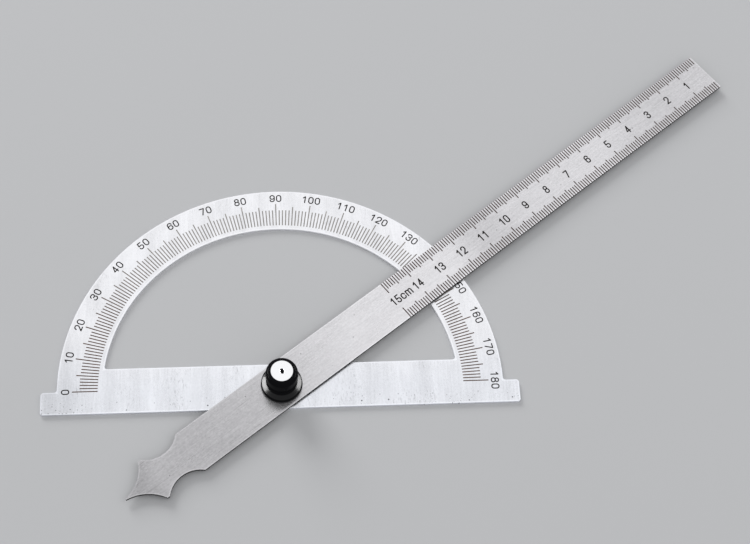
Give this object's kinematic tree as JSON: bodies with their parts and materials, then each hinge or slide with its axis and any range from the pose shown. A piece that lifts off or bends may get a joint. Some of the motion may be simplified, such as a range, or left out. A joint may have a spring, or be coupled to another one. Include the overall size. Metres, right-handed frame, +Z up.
{
  "type": "angle finder",
  "caption": "Flat steel half-round protractor with a long ruler arm that swings on a central stud and is locked by a turned thumb knob.",
  "frame": {"origin": "on the pivot's axis, in the plane of the protractor plate's underside, which the tool lies on", "axes": "+Z up, square to the plate, towards the knob; +X along the base bar, towards the 180 degree mark; +Y from the base bar towards the 90 degree mark"},
  "size_m": [0.2442, 0.1654, 0.0135],
  "materials": {
    "plate_steel": "bright satin, brushed across the base bar",
    "arm_steel": "satin, brushed along the arm",
    "stud_steel": "turned",
    "spacer_nylon": "matte",
    "knob_chrome": "polished",
    "mark_paint": "matte black fill"
  },
  "bodies": {
    "protractor": {"protractor_plate": "plate_steel", "degree_lines": "mark_paint", "degree_numbers": "mark_paint", "pivot_stud": "stud_steel", "spacer_washer": "spacer_nylon"},
    "arm": {"ruler_arm": "arm_steel", "cm_lines": "mark_paint", "cm_numbers": "mark_paint"},
    "washer": {"clamp_washer": "knob_chrome"},
    "knob": {"lock_knob": "knob_chrome"}
  },
  "joints": [
    {"name": "arm_swing", "type": "hinge", "parent": "protractor", "child": "arm", "pos_m": [0, 0, 0.0018], "axis": [0, 0, 1], "continuous": true},
    {"name": "washer_lift", "type": "slide", "parent": "protractor", "child": "washer", "axis": [0, 0, 1], "range_m": [0, 0.0021]},
    {"name": "knob_turn", "type": "hinge", "parent": "washer", "child": "knob", "pos_m": [0, 0, 0.0031], "axis": [0, 0, 1], "range_deg": [0, 1080]}
  ],
  "couplings": [
    {"joint": "washer_lift", "follows": "knob_turn", "m_per_rad": 0.0001114}
  ]
}
